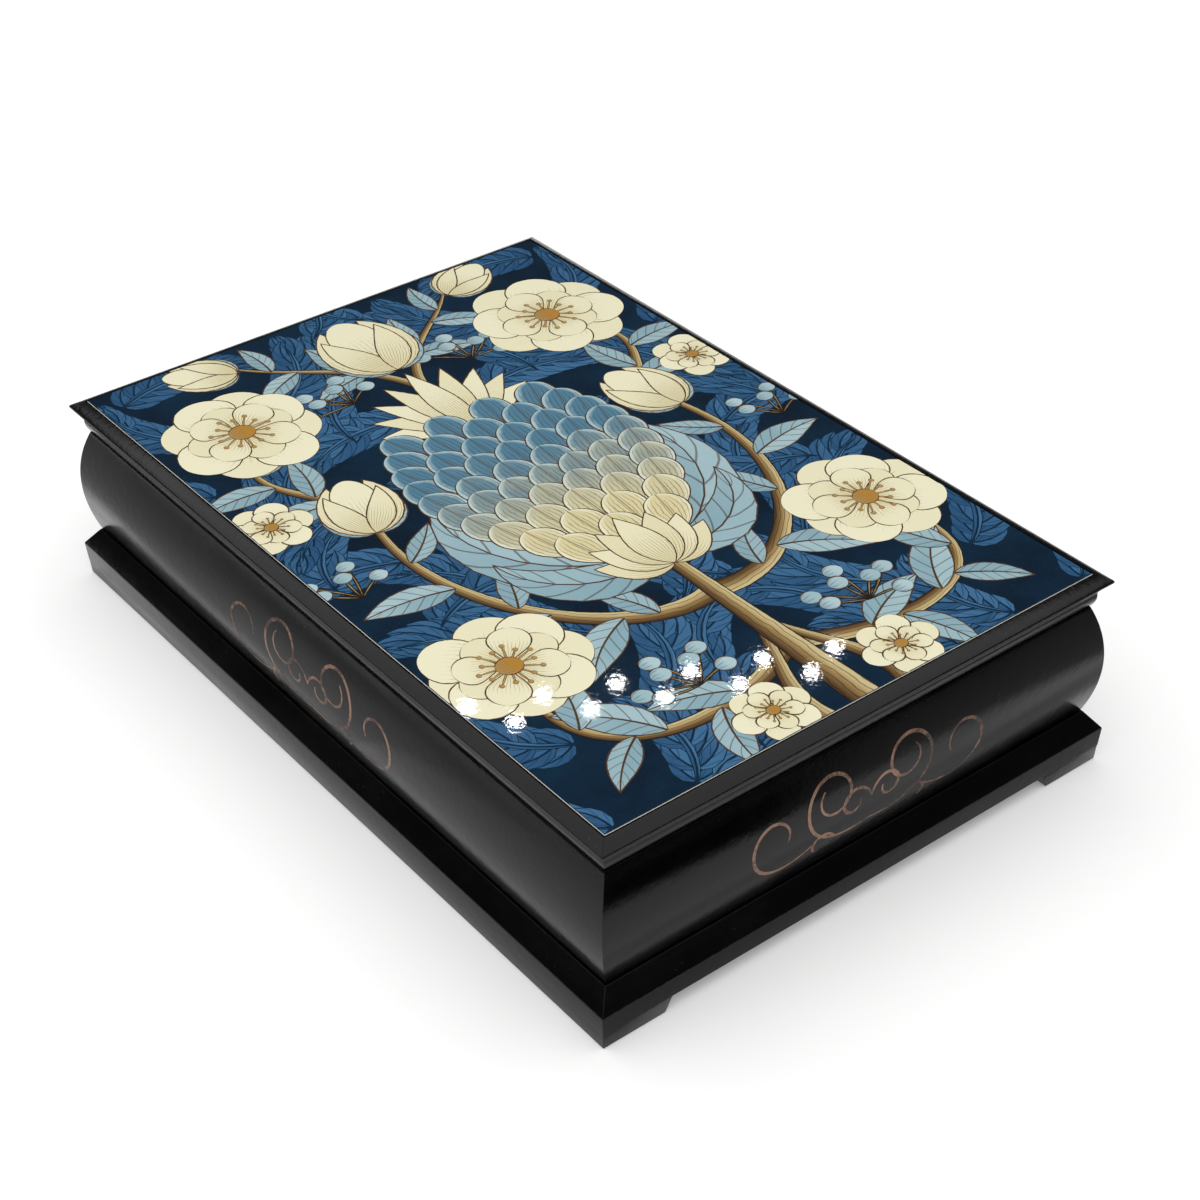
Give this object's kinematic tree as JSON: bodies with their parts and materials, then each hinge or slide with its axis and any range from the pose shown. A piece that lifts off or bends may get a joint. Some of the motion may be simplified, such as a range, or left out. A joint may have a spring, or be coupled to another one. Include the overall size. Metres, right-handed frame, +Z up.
{
  "type": "lacquer trinket box",
  "caption": "Rectangular lacquered trinket box with bulging mitred walls on a bevelled plinth, and a hinged moulded lid framing a floral picture panel.",
  "frame": {"origin": "middle of the footprint, on the surface that the box stands on", "axes": "+X along the box's long side, +Y to the back where the hinges are, +Z up"},
  "size_m": [0.18, 0.122, 0.0435],
  "materials": {
    "black_lacquer": "polished black lacquer",
    "red_lacquer": "polished red lacquer",
    "lacquered_picture": "painted floral panel under clear gloss lacquer",
    "hinge_brass": "polished brass"
  },
  "bodies": {
    "case": {"base_board": "black_lacquer", "foot_runner_front": "black_lacquer", "foot_runner_back": "black_lacquer", "front_wall": "black_lacquer", "back_wall": "black_lacquer", "left_wall": "black_lacquer", "right_wall": "black_lacquer", "floor_panel": "red_lacquer", "liner_front": "red_lacquer", "liner_back": "red_lacquer", "liner_left": "red_lacquer", "liner_right": "red_lacquer", "hinge_left_case_leaf": "hinge_brass", "hinge_left_pin": "hinge_brass", "hinge_left_case_screw_1": "hinge_brass", "hinge_left_case_screw_2": "hinge_brass", "hinge_right_case_leaf": "hinge_brass", "hinge_right_pin": "hinge_brass", "hinge_right_case_screw_1": "hinge_brass", "hinge_right_case_screw_2": "hinge_brass"},
    "lid": {"lid_frame_front": "black_lacquer", "lid_frame_back": "black_lacquer", "lid_frame_left": "black_lacquer", "lid_frame_right": "black_lacquer", "picture_panel": "lacquered_picture", "lid_lining": "red_lacquer", "hinge_left_lid_leaf": "hinge_brass", "hinge_left_lid_screw_1": "hinge_brass", "hinge_left_lid_screw_2": "hinge_brass", "hinge_right_lid_leaf": "hinge_brass", "hinge_right_lid_screw_1": "hinge_brass", "hinge_right_lid_screw_2": "hinge_brass"}
  },
  "joints": [
    {"name": "lid_hinge", "type": "hinge", "parent": "case", "child": "lid", "pos_m": [0, 0.0571, 0.03605], "axis": [-1, 0, 0], "range_deg": [0, 110]}
  ]
}
